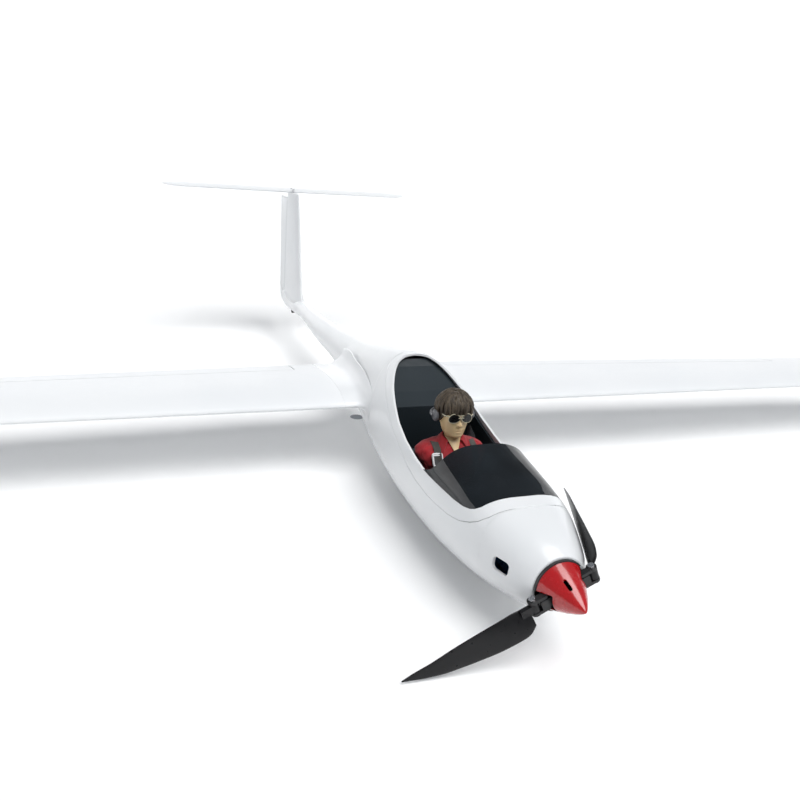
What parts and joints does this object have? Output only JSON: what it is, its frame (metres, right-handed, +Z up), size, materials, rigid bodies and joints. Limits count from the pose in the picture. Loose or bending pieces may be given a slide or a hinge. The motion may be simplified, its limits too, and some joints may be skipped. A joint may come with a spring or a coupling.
{
  "type": "rc glider",
  "caption": "Electric radio-controlled glider: slim fuselage with folding propeller, cockpit hatch with pilot, long wings with winglets and a T-tail.",
  "frame": {"origin": "on the ground under the middle of the length and span, level with the bottom of the main wheel", "axes": "nose points to -Y, starboard wing to -X, port wing to +X, +Z up along the fin"},
  "size_m": [2.5284, 1.1982, 0.2901],
  "materials": {
    "gel_white": "gloss white moulded skin",
    "foam_white": "satin white moulded foam",
    "spinner_red": "gloss red",
    "black_plastic": "satin black",
    "blade_black": "satin black with a light grain",
    "steel": "bright zinc",
    "motor_red": "anodised red",
    "copper": "enamelled windings",
    "smoked_glass": "smoked clear plastic",
    "slate": "gloss dark slate",
    "tyre": "matt black rubber",
    "carbon": "wound carbon tube",
    "battery_wrap": "blue shrink wrap",
    "servo_case": "dark blue-black nylon",
    "nylon_white": "white nylon",
    "guide_tube": "cream plastic tube",
    "skin": "painted skin tone",
    "hair": "painted dark brown",
    "shirt_red": "red cloth",
    "webbing": "grey-brown webbing",
    "esc_wrap": "blue shrink wrap"
  },
  "bodies": {
    "airframe": {"fuselage_shell": "gel_white", "motor_mount": "black_plastic", "motor_stator": "copper", "motor_screws": "steel", "speed_controller": "esc_wrap", "battery": "battery_wrap", "battery_strap": "webbing", "receiver": "black_plastic", "tail_servos": "servo_case", "wing_servos": "servo_case", "pushrod_guides": "guide_tube", "wing_joiner": "carbon", "wing_left": "foam_white", "wing_right": "foam_white", "winglet_left": "foam_white", "winglet_right": "foam_white", "fin": "foam_white", "stabilizer": "foam_white", "stabilizer_screws": "steel", "main_axle": "steel", "tail_axle": "steel"},
    "prop_hub": {"motor_rotor": "motor_red", "spinner": "spinner_red", "spinner_backplate": "black_plastic", "prop_yoke": "black_plastic", "hinge_screws": "steel"},
    "blade_starboard": {"blade_starboard": "blade_black"},
    "blade_port": {"blade_port": "blade_black"},
    "canopy_hatch": {"canopy_frame": "gel_white", "windshield": "smoked_glass", "cockpit_tub": "slate", "instrument_panel": "black_plastic", "pilot_torso": "shirt_red", "pilot_head": "skin", "pilot_hair": "hair", "pilot_sunglasses": "black_plastic", "pilot_headset": "black_plastic", "harness_strap": "webbing", "harness_buckle": "steel"},
    "main_wheel": {"main_tyre": "tyre", "main_hub": "nylon_white"},
    "tail_wheel": {"tail_wheel": "tyre"},
    "rudder": {"rudder": "foam_white"},
    "elevator": {"elevator": "foam_white"},
    "rudder_arm": {"rudder_arm": "nylon_white"},
    "elevator_arm": {"elevator_arm": "nylon_white"},
    "flap_left": {"flap_left": "foam_white"},
    "flap_arm_left": {"flap_arm_left": "nylon_white"},
    "flap_rod_left": {"flap_rod_left": "steel"},
    "flap_right": {"flap_right": "foam_white"},
    "flap_arm_right": {"flap_arm_right": "nylon_white"},
    "flap_rod_right": {"flap_rod_right": "steel"},
    "aileron_left": {"aileron_left": "foam_white"},
    "aileron_arm_left": {"aileron_arm_left": "nylon_white"},
    "aileron_rod_left": {"aileron_rod_left": "steel"},
    "aileron_right": {"aileron_right": "foam_white"},
    "aileron_arm_right": {"aileron_arm_right": "nylon_white"},
    "aileron_rod_right": {"aileron_rod_right": "steel"}
  },
  "joints": [
    {"name": "prop_spin", "type": "hinge", "parent": "airframe", "child": "prop_hub", "pos_m": [0, -0.5672, 0.066], "axis": [0, 1, 0], "continuous": true},
    {"name": "blade_starboard_fold", "type": "hinge", "parent": "prop_hub", "child": "blade_starboard", "pos_m": [-0.02556, -0.5672, 0.05408], "axis": [0.4226, 0, -0.9063], "range_deg": [0, 69]},
    {"name": "blade_port_fold", "type": "hinge", "parent": "prop_hub", "child": "blade_port", "pos_m": [0.02556, -0.5672, 0.07792], "axis": [-0.4226, 0, 0.9063], "range_deg": [-69, 0]},
    {"name": "canopy_lift", "type": "slide", "parent": "airframe", "child": "canopy_hatch", "axis": [0, 0, 1], "range_m": [0, 0.12]},
    {"name": "main_wheel_spin", "type": "hinge", "parent": "airframe", "child": "main_wheel", "pos_m": [0, -0.255, 0.025], "axis": [1, 0, 0], "continuous": true},
    {"name": "tail_wheel_spin", "type": "hinge", "parent": "airframe", "child": "tail_wheel", "pos_m": [0, 0.457, 0.06], "axis": [1, 0, 0], "continuous": true},
    {"name": "rudder_turn", "type": "hinge", "parent": "airframe", "child": "rudder", "pos_m": [0, 0.518, 0.166], "axis": [0, 0, 1], "range_deg": [-25, 25]},
    {"name": "elevator_turn", "type": "hinge", "parent": "airframe", "child": "elevator", "pos_m": [0, 0.541, 0.285], "axis": [1, 0, 0], "range_deg": [-18, 18]},
    {"name": "rudder_arm_turn", "type": "hinge", "parent": "airframe", "child": "rudder_arm", "pos_m": [-0.015, -0.089, 0.0792], "axis": [0, 0, 1], "range_deg": [-25, 25]},
    {"name": "elevator_arm_turn", "type": "hinge", "parent": "airframe", "child": "elevator_arm", "pos_m": [0.015, -0.089, 0.0792], "axis": [0, 0, 1], "range_deg": [-18, 18]},
    {"name": "flap_left_turn", "type": "hinge", "parent": "airframe", "child": "flap_left", "pos_m": [0.4, -0.07303, 0.09612], "axis": [0.9992, -0.0394, -0.0019], "range_deg": [-25, 6]},
    {"name": "flap_arm_left_turn", "type": "hinge", "parent": "airframe", "child": "flap_arm_left", "pos_m": [0.39818, -0.119, 0.09112], "axis": [0.9992, -0.0394, -0.0019], "range_deg": [-25, 6]},
    {"name": "flap_rod_left_turn", "type": "hinge", "parent": "flap_arm_left", "child": "flap_rod_left", "pos_m": [0.39815, -0.119, 0.07512], "axis": [0.9992, -0.0394, -0.0019], "range_deg": [-6, 25]},
    {"name": "flap_right_turn", "type": "hinge", "parent": "airframe", "child": "flap_right", "pos_m": [-0.4, -0.07303, 0.09612], "axis": [0.9992, 0.0394, 0.0019], "range_deg": [-25, 6]},
    {"name": "flap_arm_right_turn", "type": "hinge", "parent": "airframe", "child": "flap_arm_right", "pos_m": [-0.39818, -0.119, 0.09112], "axis": [0.9992, 0.0394, 0.0019], "range_deg": [-25, 6]},
    {"name": "flap_rod_right_turn", "type": "hinge", "parent": "flap_arm_right", "child": "flap_rod_right", "pos_m": [-0.39815, -0.119, 0.07512], "axis": [0.9992, 0.0394, 0.0019], "range_deg": [-6, 25]},
    {"name": "aileron_left_turn", "type": "hinge", "parent": "airframe", "child": "aileron_left", "pos_m": [0.89, -0.09722, 0.09854], "axis": [0.9951, -0.0928, 0.0353], "range_deg": [-20, 20]},
    {"name": "aileron_arm_left_turn", "type": "hinge", "parent": "airframe", "child": "aileron_arm_left", "pos_m": [0.8859, -0.14304, 0.09354], "axis": [0.9951, -0.0928, 0.0353], "range_deg": [-20, 20]},
    {"name": "aileron_rod_left_turn", "type": "hinge", "parent": "aileron_arm_left", "child": "aileron_rod_left", "pos_m": [0.88646, -0.14309, 0.07755], "axis": [0.9951, -0.0928, 0.0353], "range_deg": [-20, 20]},
    {"name": "aileron_right_turn", "type": "hinge", "parent": "airframe", "child": "aileron_right", "pos_m": [-0.89, -0.09722, 0.09854], "axis": [0.9951, 0.0928, -0.0353], "range_deg": [-20, 20]},
    {"name": "aileron_arm_right_turn", "type": "hinge", "parent": "airframe", "child": "aileron_arm_right", "pos_m": [-0.8859, -0.14304, 0.09354], "axis": [0.9951, 0.0928, -0.0353], "range_deg": [-20, 20]},
    {"name": "aileron_rod_right_turn", "type": "hinge", "parent": "aileron_arm_right", "child": "aileron_rod_right", "pos_m": [-0.88646, -0.14309, 0.07755], "axis": [0.9951, 0.0928, -0.0353], "range_deg": [-20, 20]}
  ],
  "couplings": [
    {"joint": "rudder_arm_turn", "follows": "rudder_turn", "ratio": 1},
    {"joint": "elevator_arm_turn", "follows": "elevator_turn", "ratio": 1},
    {"joint": "flap_arm_left_turn", "follows": "flap_left_turn", "ratio": 1},
    {"joint": "flap_rod_left_turn", "follows": "flap_left_turn", "ratio": -1},
    {"joint": "flap_arm_right_turn", "follows": "flap_right_turn", "ratio": 1},
    {"joint": "flap_rod_right_turn", "follows": "flap_right_turn", "ratio": -1},
    {"joint": "aileron_arm_left_turn", "follows": "aileron_left_turn", "ratio": 1},
    {"joint": "aileron_rod_left_turn", "follows": "aileron_left_turn", "ratio": -1},
    {"joint": "aileron_arm_right_turn", "follows": "aileron_right_turn", "ratio": 1},
    {"joint": "aileron_rod_right_turn", "follows": "aileron_right_turn", "ratio": -1}
  ]
}
